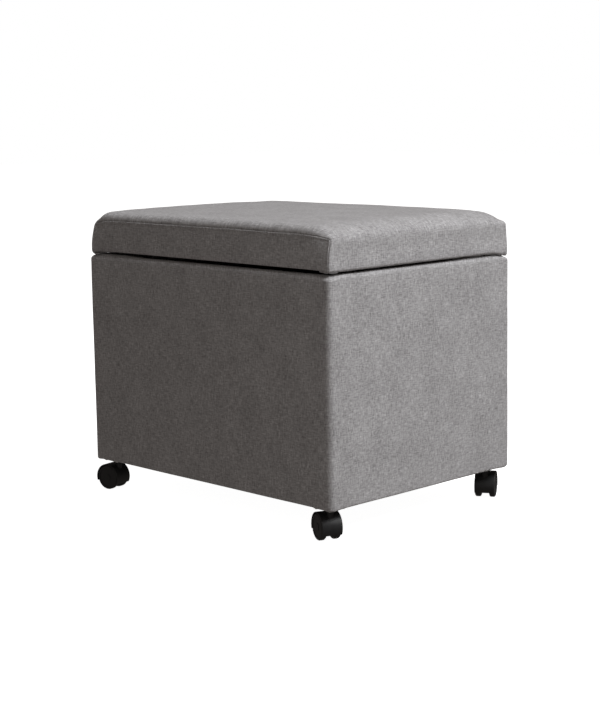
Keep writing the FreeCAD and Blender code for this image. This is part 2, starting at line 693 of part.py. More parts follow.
def make_stays():
    """Two folding stays. Each is a parallelogram with the line from hinge to case pivot."""
    lower_length = "sqrt(dims.stay_lid_back ^ 2 + dims.stay_lid_down ^ 2)"
    upper_length = "sqrt(dims.stay_case_back ^ 2 + dims.stay_case_down ^ 2)"
    lower_angle = "180 deg + atan(dims.stay_lid_down / dims.stay_lid_back)"
    upper_angle = "atan(dims.stay_case_down / dims.stay_case_back)"
    loose = "dims.stay_pin_radius + dims.running_gap"
    tight = "dims.stay_pin_radius"
    outer_face = "dims.stay_lower_x + dims.stay_arm"
    upper_head = "dims.stay_upper_x - dims.stay_gap - dims.stay_head"
    lower_head = "dims.stay_lower_x - dims.stay_gap - dims.stay_head"
    case_pivots = []
    lid_rivets = []
    for name, side in SIDES:
        stay_arm(f"stay_{name}_lower_arm", side, "dims.stay_lower_x", lower_length,
                 (loose, tight), STAY_CASE, lower_angle)
        stay_arm(f"stay_{name}_upper_arm", side, "dims.stay_upper_x", upper_length,
                 (loose, loose), STAY_MIDDLE, upper_angle)
        middle = pivot(f"stay_{name}_middle", side, STAY_MIDDLE, upper_head, outer_face)
        finish(middle, f"stay_{name}_middle_rivet")
        make_lid_bracket(name, side)
        collar = (f"{outer_face} + dims.stay_gap", f"{INSIDE_X} - dims.lining")
        anchor = f"{INSIDE_X} + dims.board / 2"
        title = f"stay_{name}_case_pivot"
        case_pivots.append(pivot(title, side, STAY_CASE, lower_head, anchor, collar))
        lid_rivets.append(pivot(f"stay_{name}_lid_rivet", side, STAY_LID, upper_head, outer_face))
    group("stay_pivot_screws", case_pivots)
    group("stay_lid_rivets", lid_rivets)


def make_hood(label):
    """Fender over both wheels, a web between them, and the barrel round the kingpin."""
    body = doc.addObject("PartDesign::Body", label)
    axle = ("dims.caster_trail", "dims.wheel_radius")
    half = "(dims.wheel_middle + dims.wheel_width / 2)"
    beyond = f"({half} + dims.overcut)"
    web = "dims.hood_web / 2"
    reach = "(dims.hood_radius + dims.overcut)"
    drum = pad(body, "YZ_Plane", f"-{half}", half, circles=[(*axle, "dims.hood_radius")])
    fillet(body, drum, "dims.hood_round", lambda edge: edge.BoundBox.XLength < TINY)
    well = [(*axle, "dims.hood_radius - dims.hood_wall")]
    pocket(body, "YZ_Plane", web, beyond, circles=well)
    pocket(body, "YZ_Plane", f"-{beyond}", f"-({web})", circles=well)
    underside = [
        (f"dims.caster_trail - {reach}", "dims.hood_front_height"),
        ("dims.caster_trail - dims.hood_front_reach", "dims.hood_front_height"),
        (f"dims.caster_trail + {reach}", "dims.hood_rear_height"),
        (f"dims.caster_trail + {reach}", "-dims.overcut"),
        (f"dims.caster_trail - {reach}", "-dims.overcut"),
    ]
    pocket(body, "YZ_Plane", f"-{beyond}", beyond, polygon=underside)
    pad(body, "XY_Plane", "dims.barrel_bottom", "dims.barrel_top", circles=[("0", "0", "dims.barrel_radius")])
    bore = "dims.kingpin_radius + dims.running_gap"
    top = "dims.barrel_top + dims.overcut"
    pocket(body, "XY_Plane", "dims.kingpin_bottom", top, circles=[("0", "0", bore)])
    pocket(body, "YZ_Plane", f"-{half}", half, circles=[(*axle, "dims.axle_radius")])
    return body


def make_wheel(label, side):
    """A nylon wheel with a dished outer face, a hub cap and a hollow inner side."""
    body = doc.addObject("PartDesign::Body", label)
    axle = ("dims.caster_trail", "dims.wheel_radius")
    low = "(dims.wheel_middle - dims.wheel_width / 2)"
    high = "(dims.wheel_middle + dims.wheel_width / 2)"

    def span(inner, outer):
        return (inner, outer) if side > 0 else (f"-({outer})", f"-({inner})")

    tread = pad(body, "YZ_Plane", *span(low, high), circles=[(*axle, "dims.wheel_radius")])
    fillet(body, tread, "dims.wheel_edge_round", lambda edge: edge.BoundBox.XLength < TINY)
    ring = [(*axle, "dims.wheel_dish_radius"), (*axle, "dims.wheel_hub_radius")]
    pocket(body, "YZ_Plane", *span(f"{high} - dims.wheel_dish", f"{high} + dims.overcut"), circles=ring)
    pocket(body, "YZ_Plane", *span(f"{low} - dims.overcut", f"{low} + dims.wheel_back_recess"), circles=ring)
    bore = [(*axle, "dims.axle_radius + dims.running_gap")]
    pocket(body, "YZ_Plane", *span(f"{low} - dims.overcut", f"{high} - dims.wheel_cap"), circles=bore)
    return body


def group_of_one(name, member):
    """A holder that gives one placed solid a second placement of its own."""
    holder = doc.addObject("Part::Compound", name)
    holder.Links = [member]
    return holder


def make_casters():
    """Four swivelling twin-wheel casters, their fixed plates, kingpins and screws."""
    kingpins = []
    screws = []
    under = "dims.case_bottom - dims.plate"
    for name, side_x, side_y, _ in CASTERS:
        x = f"({side_x} * (dims.case_width / 2 - dims.caster_inset_x))"
        y = f"({side_y} * (dims.case_depth / 2 - dims.caster_inset_y))"

        plate = doc.addObject("PartDesign::Body", f"caster_{name}_plate")
        half = "dims.plate_side / 2"
        outline = rectangle(both(half), both(half))
        corners = [(sx, sy) for sx in (-1, 1) for sy in (-1, 1)]
        base = pad(plate, "XY_Plane", under, "dims.case_bottom", polygon=outline)
        fillet(plate, base, "dims.plate_corner", is_upright)
        holes = [(f"{sx} * dims.plate_screw", f"{sy} * dims.plate_screw", "dims.screw_radius")
                 for sx, sy in corners]
        holes.append(("0", "0", "dims.kingpin_radius"))
        pocket(plate, "XY_Plane", under, "dims.case_bottom", circles=holes)
        finish(place(plate, x, y), f"caster_{name}_plate")

        kingpin = cylinder(f"kingpin_{name}", "dims.kingpin_radius",
                           "dims.case_bottom - dims.kingpin_bottom - dims.stay_gap")
        kingpins.append(place(kingpin, x, y, "dims.kingpin_bottom + dims.stay_gap"))
        for sx, sy in corners:
            spot = (f"{x} + {sx} * dims.plate_screw", f"{y} + {sy} * dims.plate_screw", under)
            screws.append(screw(f"caster_screw_{len(screws)}", Vector(0, 0, 1), spot, CASTER_SCREW))

        axle_half = "(dims.wheel_middle + dims.wheel_width / 2 - dims.wheel_cap - dims.stay_gap)"
        axle = cylinder(f"axle_{name}", "dims.axle_radius", f"2 * {axle_half}", Vector(1, 0, 0))
        place(axle, f"-{axle_half}", "dims.caster_trail", "dims.wheel_radius")
        turning = {
            f"caster_{name}_hood": make_hood(f"caster_{name}_hood"),
            f"caster_{name}_axle": group_of_one(f"caster_{name}_axle", axle),
            f"caster_{name}_wheel_a": make_wheel(f"caster_{name}_wheel_a", 1),
            f"caster_{name}_wheel_b": make_wheel(f"caster_{name}_wheel_b", -1),
        }
        for label, body in turning.items():
            turn(body, Vector(0, 0, 1), f"dims.{name}_trail_angle")
            finish(place(body, x, y), label)
    group("caster_kingpins", kingpins)
    group("caster_screws", screws)


make_carcass()
make_case_padding()
make_case_cover()
make_lining_and_dust_cover()
make_case_screws()
make_bumpers()
staple_ring("base_staples", "dims.case_width / 2", "dims.case_depth / 2", "dims.case_bottom")
make_lid_upholstery()
staple_ring("lid_staples", LID_X, LID_Y, "dims.lid_bottom")
make_hinges()
make_stays()
make_casters()

doc.recompute()
for thing in doc.Objects:
    if any(state in ("Invalid", "Error") for state in thing.State):
        raise RuntimeError(f"{thing.Label} failed: {thing.State}")
for thing in parts:
    if thing.Shape.isNull() or not thing.Shape.isValid() or not thing.Shape.Solids:
        raise RuntimeError(f"{thing.Label} has no valid solid")

os.makedirs("parts", exist_ok=True)
for thing in parts:
    thing.Shape.exportStep(f"parts/{thing.Label}.step")
print(len(parts), "sub-parts written")
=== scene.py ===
"""Looks of the rolling storage ottoman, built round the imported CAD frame. Metres, +Z up, front at -Y."""
import json
import math

import bmesh
import bpy
from mathutils import Matrix, Vector, kdtree, noise


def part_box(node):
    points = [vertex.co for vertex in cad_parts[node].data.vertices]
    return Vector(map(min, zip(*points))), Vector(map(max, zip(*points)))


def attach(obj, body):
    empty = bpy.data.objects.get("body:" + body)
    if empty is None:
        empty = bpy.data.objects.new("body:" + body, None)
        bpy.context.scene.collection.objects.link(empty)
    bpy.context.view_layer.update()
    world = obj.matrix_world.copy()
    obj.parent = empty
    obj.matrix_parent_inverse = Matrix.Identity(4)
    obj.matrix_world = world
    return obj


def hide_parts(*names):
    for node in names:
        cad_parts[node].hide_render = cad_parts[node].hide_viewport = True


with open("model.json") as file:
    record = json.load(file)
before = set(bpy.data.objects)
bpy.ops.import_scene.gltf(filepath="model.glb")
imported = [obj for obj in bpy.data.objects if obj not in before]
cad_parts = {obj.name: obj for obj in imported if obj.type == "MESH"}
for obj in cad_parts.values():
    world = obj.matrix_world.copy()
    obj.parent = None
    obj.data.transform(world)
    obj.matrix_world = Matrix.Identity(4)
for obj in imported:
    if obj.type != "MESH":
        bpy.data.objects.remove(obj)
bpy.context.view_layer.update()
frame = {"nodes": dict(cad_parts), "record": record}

MM = 0.001

# Places read from the CAD frame.
CASE_LOW, CASE_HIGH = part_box("case_cover")
LID_LOW, LID_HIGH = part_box("lid_top_cover")
BORDER_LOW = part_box("lid_front_border")[0]
REAR_BORDER_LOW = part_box("lid_rear_border")[0]
LINING_LOW, LINING_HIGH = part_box("case_lining")
FOAM_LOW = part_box("lid_foam")[0]

LID_X = LID_HIGH.x
LID_Y = LID_HIGH.y


# ---------------------------------------------------------------- camera, light and stage

CAMERA_PLACE = Vector((1.8913, -1.8392, 0.6398))
CAMERA_AZIMUTH = math.radians(45.68)
CAMERA_DOWN = math.radians(9.05)
CAMERA_ROLL = math.radians(-0.861)
CAMERA_LENS = 82.885
KEY_PLACE, KEY_SIZE, KEY_POWER = (3.10, 0.85, 3.95), 3.2, 260
FILL_PLACE, FILL_SIZE, FILL_POWER = (0.78, -1.05, 0.34), 0.5, 0.75
SURROUND_STRENGTH = 0.158
FLOOR_SIDE = 24
FLOOR_GLOW = 0.97


def make_camera():
    """The camera looks at the near corner from a little above the lid, nearly level."""
    right = Vector((math.cos(CAMERA_AZIMUTH), math.sin(CAMERA_AZIMUTH), 0))
    look = Vector((
        -math.sin(CAMERA_AZIMUTH) * math.cos(CAMERA_DOWN),
        math.cos(CAMERA_AZIMUTH) * math.cos(CAMERA_DOWN),
        -math.sin(CAMERA_DOWN),
    ))
    up = right.cross(look)
    rolled_right = math.cos(CAMERA_ROLL) * right + math.sin(CAMERA_ROLL) * up
    rolled_up = -math.sin(CAMERA_ROLL) * right + math.cos(CAMERA_ROLL) * up
    turn = Matrix((rolled_right, rolled_up, -look)).transposed()
    data = bpy.data.cameras.new("camera")
    data.lens = CAMERA_LENS
    data.sensor_width = 36
    data.clip_start = 0.05
    data.clip_end = 60
    camera = bpy.data.objects.new("camera", data)
    camera.matrix_world = Matrix.Translation(CAMERA_PLACE) @ turn.to_4x4()
    bpy.context.scene.collection.objects.link(camera)
    bpy.context.scene.camera = camera


def area_light(name, place, target, size, power, colour):
    data = bpy.data.lights.new(name, "AREA")
    data.shape = "DISK"
    data.size = size
    data.energy = power
    data.color = colour
    light = bpy.data.objects.new(name, data)
    light.location = place
    light.rotation_euler = (Vector(target) - Vector(place)).to_track_quat("-Z", "Y").to_euler()
    bpy.context.scene.collection.objects.link(light)


def make_light():
    """A large soft key from the right and above, a weak fill by the near corner and a dim warm surround."""
    scene = bpy.context.scene
    scene.view_settings.view_transform = "Standard"
    area_light("key", KEY_PLACE, (0, 0, 0.3), KEY_SIZE, KEY_POWER, (0.985, 0.985, 1.0))
    area_light("fill", FILL_PLACE, (0.1, -0.2, 0.25), FILL_SIZE, FILL_POWER, (1.0, 0.95, 0.92))
    world = bpy.data.worlds.new("studio")
    scene.world = world
    world.use_nodes = True
    nodes, links = world.node_tree.nodes, world.node_tree.links
    nodes.clear()
    output = nodes.new("ShaderNodeOutputWorld")
    seen = nodes.new("ShaderNodeBackground")
    seen.inputs["Color"].default_value = (1, 1, 1, 1)
    seen.inputs["Strength"].default_value = 1.0
    dim = nodes.new("ShaderNodeBackground")
    dim.inputs["Color"].default_value = (1.0, 0.90, 0.84, 1)
    dim.inputs["Strength"].default_value = SURROUND_STRENGTH
    path = nodes.new("ShaderNodeLightPath")
    mix = nodes.new("ShaderNodeMixShader")
    links.new(path.outputs["Is Camera Ray"], mix.inputs[0])
    links.new(dim.outputs[0], mix.inputs[1])
    links.new(seen.outputs[0], mix.inputs[2])
    links.new(mix.outputs[0], output.inputs["Surface"])


def make_floor():
    """A floor that glows just enough to hide its shadow, and throws no light back on the object."""
    mesh = bpy.data.meshes.new("floor")
    half = FLOOR_SIDE / 2
    corners = [(-half, -half, 0), (half, -half, 0), (half, half, 0), (-half, half, 0)]
    mesh.from_pydata(corners, [], [(0, 1, 2, 3)])
    floor = bpy.data.objects.new("floor", mesh)
    bpy.context.scene.collection.objects.link(floor)
    material = bpy.data.materials.new("pale_floor")
    material.use_nodes = True
    shader = material.node_tree.nodes["Principled BSDF"]
    shader.inputs["Base Color"].default_value = (0.75, 0.75, 0.75, 1)
    shader.inputs["Roughness"].default_value = 0.9
    shader.inputs["Emission Color"].default_value = (1, 1, 1, 1)
    shader.inputs["Emission Strength"].default_value = FLOOR_GLOW
    mesh.materials.append(material)
    floor.visible_diffuse = False
    floor.visible_glossy = False


# ---------------------------------------------------------------- materials

THREAD_PITCH = 1.3 * MM


def new_material(name, roughness, metallic=0.0):
    material = bpy.data.materials.new(name)
    material.use_nodes = True
    tree = material.node_tree
    shader = tree.nodes["Principled BSDF"]
    shader.inputs["Roughness"].default_value = roughness
    shader.inputs["Metallic"].default_value = metallic
    return material, tree, shader


def link(tree, source, target):
    tree.links.new(source, target)


def math_node(tree, operation, *values):
    node = tree.nodes.new("ShaderNodeMath")
    node.operation = operation
    for socket, value in zip(node.inputs, values):
        if isinstance(value, (int, float)):
            socket.default_value = value
        else:
            link(tree, value, socket)
    return node.outputs[0]


def noise_node(tree, coordinates, stretch, detail=2.0, rough=0.5, place=(0, 0, 0)):
    """Noise of coordinates that are first stretched along each axis."""
    mapping = tree.nodes.new("ShaderNodeMapping")
    mapping.inputs["Scale"].default_value = stretch
    mapping.inputs["Location"].default_value = place
    link(tree, coordinates, mapping.inputs["Vector"])
    node = tree.nodes.new("ShaderNodeTexNoise")
    node.inputs["Scale"].default_value = 1.0
    node.inputs["Detail"].default_value = detail
    node.inputs["Roughness"].default_value = rough
    link(tree, mapping.outputs[0], node.inputs["Vector"])
    return node.outputs["Fac"]


def ramp_node(tree, factor, stops):
    node = tree.nodes.new("ShaderNodeValToRGB")
    elements = node.color_ramp.elements
    while len(elements) < len(stops):
        elements.new(0.5)
    for element, (position, colour) in zip(elements, stops):
        element.position = position
        element.color = (*colour, 1)
    link(tree, factor, node.inputs[0])
    return node.outputs["Color"]


def bump_node(tree, height, distance, strength):
    node = tree.nodes.new("ShaderNodeBump")
    node.inputs["Strength"].default_value = strength
    node.inputs["Distance"].default_value = distance
    link(tree, height, node.inputs["Height"])
    return node.outputs["Normal"]


def weighted(tree, terms):
    """The sum of (signal, weight) pairs."""
    total = None
    for signal, weight in terms:
        product = math_node(tree, "MULTIPLY", signal, weight)
        total = product if total is None else math_node(tree, "ADD", total, product)
    return total


def linen_material():
    """Heathered linen-look upholstery: slubs along both threads, a plain weave and a soft sheen."""
    material, tree, shader = new_material("heathered_linen", 0.92)
    attribute = tree.nodes.new("ShaderNodeAttribute")
    attribute.attribute_name = "weave"
    at = attribute.outputs["Vector"]
    warp_slub = noise_node(tree, at, (620, 80, 1), 3, 0.6)
    weft_slub = noise_node(tree, at, (85, 640, 1), 3, 0.6, (7, 3, 0))
    mottle = noise_node(tree, at, (300, 260, 1), 2, 0.55, (2, 9, 0))
    cloud = noise_node(tree, at, (26, 18, 1), 2, 0.5, (5, 1, 0))
    separate = tree.nodes.new("ShaderNodeSeparateXYZ")
    link(tree, at, separate.inputs[0])
    turn = 2 * math.pi / THREAD_PITCH
    weft = math_node(tree, "SINE", math_node(tree, "MULTIPLY", separate.outputs["X"], turn))
    warp = math_node(tree, "SINE", math_node(tree, "MULTIPLY", separate.outputs["Y"], turn))
    crossing = math_node(tree, "MULTIPLY", weft, warp)
    tone = weighted(tree, [
        (warp_slub, 0.42), (weft_slub, 0.40), (mottle, 0.26), (cloud, 0.12), (crossing, 0.035),
    ])
    colour = ramp_node(tree, tone, [
        (0.42, (0.165, 0.160, 0.160)),
        (0.56, (0.300, 0.295, 0.298)),
        (0.66, (0.420, 0.416, 0.420)),
        (0.80, (0.620, 0.615, 0.620)),
    ])
    link(tree, colour, shader.inputs["Base Color"])
    relief = weighted(tree, [(crossing, 0.25), (warp_slub, 0.8), (weft_slub, 0.8), (mottle, 0.5)])
    link(tree, bump_node(tree, relief, 0.25 * MM, 0.35), shader.inputs["Normal"])
    shader.inputs["Sheen Weight"].default_value = 0.32
    shader.inputs["Sheen Roughness"].default_value = 0.5
    shader.inputs["Specular IOR Level"].default_value = 0.25
    return material


def nonwoven_material(name, dark, light, pitch):
    """Thin bonded sheet with a faint embossed dot grid and loose fibres."""
    material, tree, shader = new_material(name, 0.85)
    coordinates = tree.nodes.new("ShaderNodeTexCoord").outputs["Object"]
    fibres = noise_node(tree, coordinates, (900, 900, 900), 4, 0.7)
    patches = noise_node(tree, coordinates, (60, 60, 60), 2)
    voronoi = tree.nodes.new("ShaderNodeTexVoronoi")
    voronoi.inputs["Scale"].default_value = 1 / pitch
    voronoi.inputs["Randomness"].default_value = 0.15
    link(tree, coordinates, voronoi.inputs["Vector"])
    dots = voronoi.outputs["Distance"]
    tone = weighted(tree, [(fibres, 0.5), (patches, 0.3), (dots, 0.35)])
    link(tree, ramp_node(tree, tone, [(0.35, dark), (0.75, light)]), shader.inputs["Base Color"])
    relief = weighted(tree, [(dots, 0.7), (fibres, 0.3)])
    link(tree, bump_node(tree, relief, 0.3 * MM, 0.6), shader.inputs["Normal"])
    return material


def nylon_material(name, base, roughness):
    """Moulded nylon: fine spark-eroded grain, rubbed a little lighter where dust gathers."""
    material, tree, shader = new_material(name, roughness)
    coordinates = tree.nodes.new("ShaderNodeTexCoord").outputs["Object"]
    grain = noise_node(tree, coordinates, (1500, 1500, 1500), 3, 0.6)
    smears = noise_node(tree, coordinates, (70, 70, 130), 3, 0.6)
    tone = weighted(tree, [(grain, 0.35), (smears, 0.65)])
    dark = tuple(channel * 0.7 for channel in base)
    light = tuple(channel * 1.9 for channel in base)
    link(tree, ramp_node(tree, tone, [(0.35, dark), (0.7, light)]), shader.inputs["Base Color"])
    gloss = tree.nodes.new("ShaderNodeMapRange")
    gloss.inputs["To Min"].default_value = roughness - 0.1
    gloss.inputs["To Max"].default_value = roughness + 0.14
    link(tree, smears, gloss.inputs["Value"])
    link(tree, gloss.outputs["Result"], shader.inputs["Roughness"])
    link(tree, bump_node(tree, grain, 0.06 * MM, 0.5), shader.inputs["Normal"])
    return material


def zinc_material(name, base, roughness, stretch):
    """Zinc-plated steel with drawn streaks and a faint mottled bloom."""
    material, tree, shader = new_material(name, roughness, 1.0)
    coordinates = tree.nodes.new("ShaderNodeTexCoord").outputs["Object"]
    streaks = noise_node(tree, coordinates, stretch, 3, 0.6)
    bloom = noise_node(tree, coordinates, (120, 120, 120), 3, 0.6)
    tone = weighted(tree, [(streaks, 0.5), (bloom, 0.5)])
    dark = tuple(channel * 0.72 for channel in base)
    light = tuple(min(1.0, channel * 1.2) for channel in base)
    link(tree, ramp_node(tree, tone, [(0.35, dark), (0.68, light)]), shader.inputs["Base Color"])
    gloss = tree.nodes.new("ShaderNodeMapRange")
    gloss.inputs["To Min"].default_value = roughness - 0.1
    gloss.inputs["To Max"].default_value = roughness + 0.15
    link(tree, tone, gloss.inputs["Value"])
    link(tree, gloss.outputs["Result"], shader.inputs["Roughness"])
    link(tree, bump_node(tree, streaks, 0.05 * MM, 0.5), shader.inputs["Normal"])
    return material


def board_material():
    """Raw fibreboard: short fibres and darker flecks."""
    material, tree, shader = new_material("fibreboard", 0.8)
    coordinates = tree.nodes.new("ShaderNodeTexCoord").outputs["Object"]
    fibres = noise_node(tree, coordinates, (260, 260, 900), 4, 0.7)
    flecks = noise_node(tree, coordinates, (1100, 1100, 1100), 2, 0.5)
    tone = weighted(tree, [(fibres, 0.6), (flecks, 0.4)])
    link(tree, ramp_node(tree, tone, [(0.3, (0.30, 0.21, 0.13)), (0.5, (0.50, 0.38, 0.25)),
                                      (0.7, (0.62, 0.50, 0.36))]), shader.inputs["Base Color"])
    link(tree, bump_node(tree, fibres, 0.2 * MM, 0.5), shader.inputs["Normal"])
    return material


def wadding_material(name, dark, light, cell):
    """Soft wadding or foam: cloudy, slightly open surface."""
    material, tree, shader = new_material(name, 0.95)
    coordinates = tree.nodes.new("ShaderNodeTexCoord").outputs["Object"]
    cloud = noise_node(tree, coordinates, (1 / cell,) * 3, 4, 0.65)
    link(tree, ramp_node(tree, cloud, [(0.3, dark), (0.7, light)]), shader.inputs["Base Color"])
    link(tree, bump_node(tree, cloud, 0.6 * MM, 0.6), shader.inputs["Normal"])
    return material


# ---------------------------------------------------------------- mesh helpers

def smooth_step(value):
    value = min(1.0, max(0.0, value))
    return value * value * (3 - 2 * value)


def ripple(place, size, seed=0.0):
    """Smooth noise from -1 to 1 whose bumps are about as large as size."""
    return noise.noise(Vector(place) / size + Vector((seed, seed * 1.7, -seed)))


def grid_object(name, rows, weave, closed=False, capped=False):
    """A sheet of quads from rows of points, with weave coordinates along its threads."""
    across = len(rows[0])
    points = [point for row in rows for point in row]
    faces = []
    for index in range(len(rows) - 1):
        for step in range(across if closed else across - 1):
            following = (step + 1) % across
            faces.append((
                index * across + step,
                index * across + following,
                (index + 1) * across + following,
                (index + 1) * across + step,
            ))
    if capped:
        faces.append(tuple(reversed(range(across))))
    mesh = bpy.data.meshes.new(name)
    mesh.from_pydata(points, [], faces)
    threads = mesh.attributes.new("weave", "FLOAT_VECTOR", "POINT")
    flat = [value for row in weave for u, v in row for value in (u, v, 0.0)]
    threads.data.foreach_set("vector", flat)
    mesh.polygons.foreach_set("use_smooth", [True] * len(mesh.polygons))
    mesh.update()
    piece = bpy.data.objects.new(name, mesh)
    bpy.context.scene.collection.objects.link(piece)
    return piece


def thicken(piece, thickness):
    """Give a sheet its thickness, inward from the modelled face."""
    modifier = piece.modifiers.new("thickness", "SOLIDIFY")
    modifier.thickness = thickness
    modifier.offset = -1
    modifier.use_quality_normals = True


def finish_piece(piece, body, slot, material, *nodes):
    piece.data.materials.append(material)
    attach(piece, body)
    if nodes:
        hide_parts(*nodes)


# ---------------------------------------------------------------- case cover and wadding

# The cover's section, and how closely its rings are divided.
SIDE_STEP = 5 * MM
CORNER_STEPS = 8
FABRIC = 1.0 * MM
WADDING_THICKNESS = 2.2 * MM
CASE_HEM = 20 * MM
CASE_FOOT = 3.0 * MM
RIM_ROLL = 7.0 * MM
RIM_INSIDE = 17.6 * MM
RIM_DROP = 40 * MM

# Its upright corners. The near one, front right, is rounder.
CASE_RADIUS = 3.2 * MM
NEAR_RADIUS = 5.5 * MM
NEAR_RADIUS_GROWTH = 3.5 * MM
LEAST_RADIUS = 2 * MM
CORNER_ZONE = 28 * MM

# Where it leaves a plain box: the rim and the bottom at the corners, and the fullness of the faces.
PUCKER = 1.5 * MM
RIM_RAISE = 1.6 * MM
RAISED_LENGTH = 150 * MM
REAR_RIM_DROP = 2.4 * MM
NEAR_RIM_DROP = 2.6 * MM
REAR_BOTTOM_LIFT = 3.8 * MM
REAR_LIFT_ZONE = 15 * MM
REAR_RIGHT_SWELL = 1.4 * MM
REAR_SWELL_HEIGHT = 300 * MM
FACE_SWELL = 0.5 * MM
MIDDLE_SWELL = 0.7 * MM


def perimeter(half_x, half_y, radius, front_right_radius=None):
    """Points round a rounded rectangle, as (x, y, normal x, normal y, nearness to a corner)."""
    count_x = round(2 * CASE_HIGH.x / SIDE_STEP)
    count_y = round(2 * CASE_HIGH.y / SIDE_STEP)
    corners = [
        (1, -1, -90, front_right_radius or radius),
        (1, 1, 0, radius),
        (-1, 1, 90, radius),
        (-1, -1, 180, radius),
    ]

    def on_corner(corner, angle):
        side_x, side_y, _, turn = corner
        return Vector((
            side_x * (half_x - turn) + turn * math.cos(angle),
            side_y * (half_y - turn) + turn * math.sin(angle),
        ))

    points = []
    for index, corner in enumerate(corners):
        following = corners[(index + 1) % 4]
        for step in range(CORNER_STEPS + 1):
            angle = math.radians(corner[2] + 90 * step / CORNER_STEPS)
            normal = (math.cos(angle), math.sin(angle))
            points.append((*on_corner(corner, angle), *normal, 1.0))
        count = count_y if following[0] == corner[0] else count_x
        first = on_corner(corner, angle)
        last = on_corner(following, angle)
        length = (last - first).length
        for step in range(1, count):
            place = first.lerp(last, step / count)
            from_end = min(step, count - step) / count * length
            points.append((place.x, place.y, *normal, max(0.0, 1 - from_end / CORNER_ZONE) ** 2))
    return points


def quarter(steps):
    """Angles from 0 to a right angle."""
    return [math.pi / 2 * step / steps for step in range(steps + 1)]


def case_profile():
    """The cover's section as (inset, height), from the hem under the base to the edge inside the rim."""
    bottom, top = CASE_LOW.z, CASE_HIGH.z
    section = [(CASE_HEM, bottom), (CASE_HEM * 0.6, bottom), (CASE_FOOT + 2 * MM, bottom)]
    for angle in quarter(6):
        section.append((CASE_FOOT * (1 - math.sin(angle)), bottom + CASE_FOOT * (1 - math.cos(angle))))
    side_low, side_high = bottom + CASE_FOOT, top - RIM_ROLL
    count = round((side_high - side_low) / SIDE_STEP)
    section += [(0, side_low + (side_high - side_low) * step / count) for step in range(1, count)]
    for angle in quarter(9):
        section.append((RIM_ROLL * (1 - math.cos(angle)), side_high + RIM_ROLL * math.sin(angle)))
    section += [(RIM_ROLL + 3 * MM, top), (RIM_INSIDE - 3 * MM, top)]
    for angle in quarter(3):
        section.append((RIM_INSIDE - 2 * MM * (1 - math.sin(angle)), top - 2 * MM * (1 - math.cos(angle))))
    section += [(RIM_INSIDE, top - RIM_DROP * share) for share in (0.2, 0.4, 0.6, 0.8, 1.0)]
    return section


def case_rows():
    """The cover's rings, stretched over the wadding: fuller on the faces, folded at the corners."""
    bottom, top = CASE_LOW.z, CASE_HIGH.z
    rows, weave = [], []
    travelled = 0.0
    previous = None
    for inset, height in case_profile():
        if previous:
            travelled += math.dist(previous, (inset, height))
        previous = (inset, height)
        low = smooth_step(1 - (height - bottom) / (12 * MM))
        high = smooth_step(1 - (top - height) / (12 * MM)) if inset < RIM_ROLL + 1 * MM else 0.0
        below_rim = smooth_step((top - height) / (70 * MM))
        outside = smooth_step((11 * MM - inset) / (8 * MM))
        middle = smooth_step((height - bottom) / (40 * MM)) * smooth_step((top - height) / (30 * MM))
        on_rim = smooth_step((inset - RIM_ROLL * 0.7) / (4 * MM)) if height > top - 3 * MM else 0.0
        radius = max(LEAST_RADIUS, CASE_RADIUS - inset * 0.2)
        near_radius = max(LEAST_RADIUS, NEAR_RADIUS + NEAR_RADIUS_GROWTH * below_rim - inset * 0.6)
        ring = perimeter(CASE_HIGH.x - inset, CASE_HIGH.y - inset, radius, near_radius)
        row, threads = [], []
        for x, y, normal_x, normal_y, corner in ring:
            place = Vector((x, y, height))
            uneven = 0.4 * MM * ripple(place, 0.11) + 0.22 * MM * ripple(place, 0.035, 3)
            swell = outside * (FACE_SWELL + uneven)
            swell += outside * MIDDLE_SWELL * middle * (1 - corner)
            from_corner = CASE_HIGH.x - abs(x) + CASE_HIGH.y - abs(y)
            if x > 0 and y > 0:
                swell += REAR_RIGHT_SWELL * outside * corner * smooth_step((top - height) / REAR_SWELL_HEIGHT)
            gathered = smooth_step((RAISED_LENGTH - from_corner) / (60 * MM)) * on_rim if x * y > 0 else 0.0
            drop = REAR_RIM_DROP if y > 0 else (NEAR_RIM_DROP if x > 0 else 0.0)
            shift = RIM_RAISE * gathered - PUCKER * corner * low - drop * corner * high * (1 - on_rim)
            if y > 0:
                shift += REAR_BOTTOM_LIFT * low * max(0.0, 1 - from_corner / REAR_LIFT_ZONE) ** 2
            shift += min(0.0, 0.35 * MM * ripple(place, 0.05, 7) * (high + 0.6 * low) * outside)
            row.append((x + normal_x * swell, y + normal_y * swell, height + shift))
            threads.append((x + y, travelled))
        rows.append(row)
        weave.append(threads)
    return rows, weave


def make_case_cover(fabric, wadding):
    """Fabric stretched over the wadded box, and the wadding just under it."""
    rows, weave = case_rows()
    cover = grid_object("case_cover_fabric", rows, weave, closed=True)
    across = len(rows[0])
    wrapped = [index for index, (inset, height) in enumerate(case_profile())
               if height > CASE_LOW.z + CASE_FOOT * 0.6 and inset < RIM_INSIDE - 2.5 * MM]
    skin = cover.data.vertices
    under = [[skin[index * across + step].co - skin[index * across + step].normal * (FABRIC + 0.15 * MM)
              for step in range(across)] for index in wrapped]
    batting = grid_object("case_wadding", under, [weave[index] for index in wrapped], closed=True)
    thicken(cover, FABRIC)
    finish_piece(cover, "case", "upholstery_fabric", fabric, "case_cover")
    thicken(batting, WADDING_THICKNESS)
    finish_piece(batting, "case", "wadding", wadding, "case_padding")


# ---------------------------------------------------------------- linings and dust cover

LINING_THICKNESS = 0.5 * MM
LINING_FOLD = 4 * MM
WALL_SLACK = 1.6 * MM
FLOOR_SLACK = 1.2 * MM
SHEET_STEP = 8 * MM


